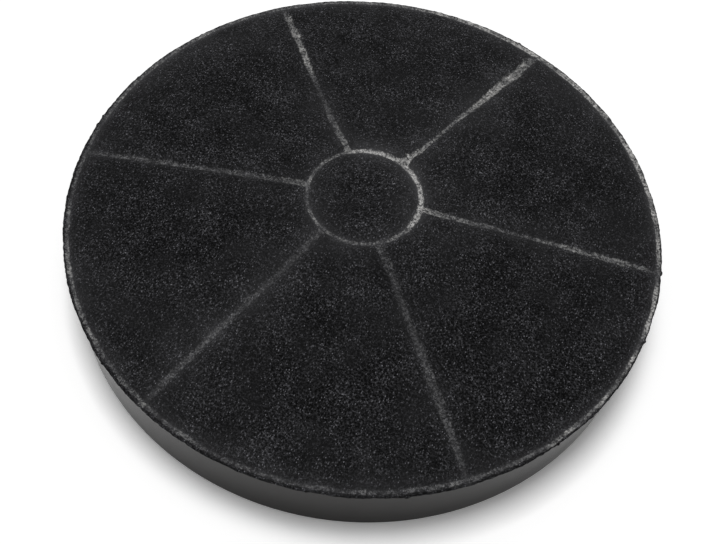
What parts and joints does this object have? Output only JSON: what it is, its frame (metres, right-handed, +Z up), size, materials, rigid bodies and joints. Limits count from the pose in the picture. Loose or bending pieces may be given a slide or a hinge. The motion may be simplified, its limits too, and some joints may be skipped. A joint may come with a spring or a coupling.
{
  "type": "cooker hood carbon filter",
  "caption": "Round carbon filter cartridge for a cooker hood: a moulded tray with a floor grille and bayonet hub, filled with granules under welded felt.",
  "frame": {"origin": "middle of the underside, level with the face that rests on a shelf", "axes": "+Z up through the felt face, along the filter's axis; +X along one of the dividing ribs"},
  "size_m": [0.233, 0.233, 0.0417],
  "materials": {
    "housing_plastic": "injection moulded, satin",
    "cover_felt": "needled felt, matt",
    "liner_felt": "needled felt, matt",
    "carbon_granules": "loose granules, matt"
  },
  "bodies": {
    "root": {"housing": "housing_plastic", "cover_felt": "cover_felt", "liner_felt_1": "liner_felt", "liner_felt_2": "liner_felt", "liner_felt_3": "liner_felt", "liner_felt_4": "liner_felt", "liner_felt_5": "liner_felt", "liner_felt_6": "liner_felt", "carbon_bed_1": "carbon_granules", "carbon_bed_2": "carbon_granules", "carbon_bed_3": "carbon_granules", "carbon_bed_4": "carbon_granules", "carbon_bed_5": "carbon_granules", "carbon_bed_6": "carbon_granules"}
  },
  "joints": []
}
